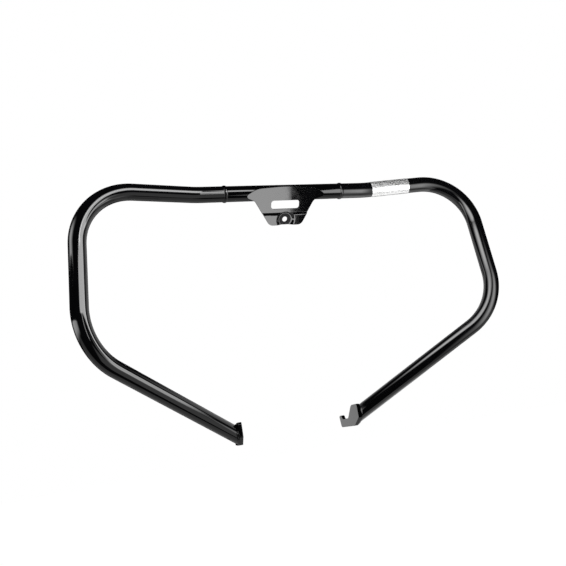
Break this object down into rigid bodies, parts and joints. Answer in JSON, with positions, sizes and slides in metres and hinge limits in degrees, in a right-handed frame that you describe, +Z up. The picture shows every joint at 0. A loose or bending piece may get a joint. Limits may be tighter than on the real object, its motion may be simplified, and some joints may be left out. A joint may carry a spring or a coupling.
{
  "type": "motorcycle engine guard",
  "caption": "Gloss black tubular engine guard for a motorcycle: bent loop of round tube with a slotted, pressed centre bracket and a hook plate on each lower end.",
  "frame": {"origin": "middle of the bolt hole in the bracket's dish", "axes": "+X across the motorcycle towards the side with the foil band, +Y towards its rear, +Z up, as installed"},
  "size_m": [0.8806, 0.252, 0.5036],
  "materials": {
    "coated_tube": "gloss",
    "coated_plate": "gloss",
    "coated_weld": "gloss",
    "foil": "satin"
  },
  "bodies": {
    "root": {"centre_tube": "coated_tube", "right_tube": "coated_tube", "left_tube": "coated_tube", "mounting_bracket": "coated_plate", "right_hook_plate": "coated_plate", "left_hook_plate": "coated_plate", "bracket_weld": "coated_weld", "right_joint_weld": "coated_weld", "left_joint_weld": "coated_weld", "right_hook_weld": "coated_weld", "left_hook_weld": "coated_weld", "foil_band": "foil"}
  },
  "joints": []
}
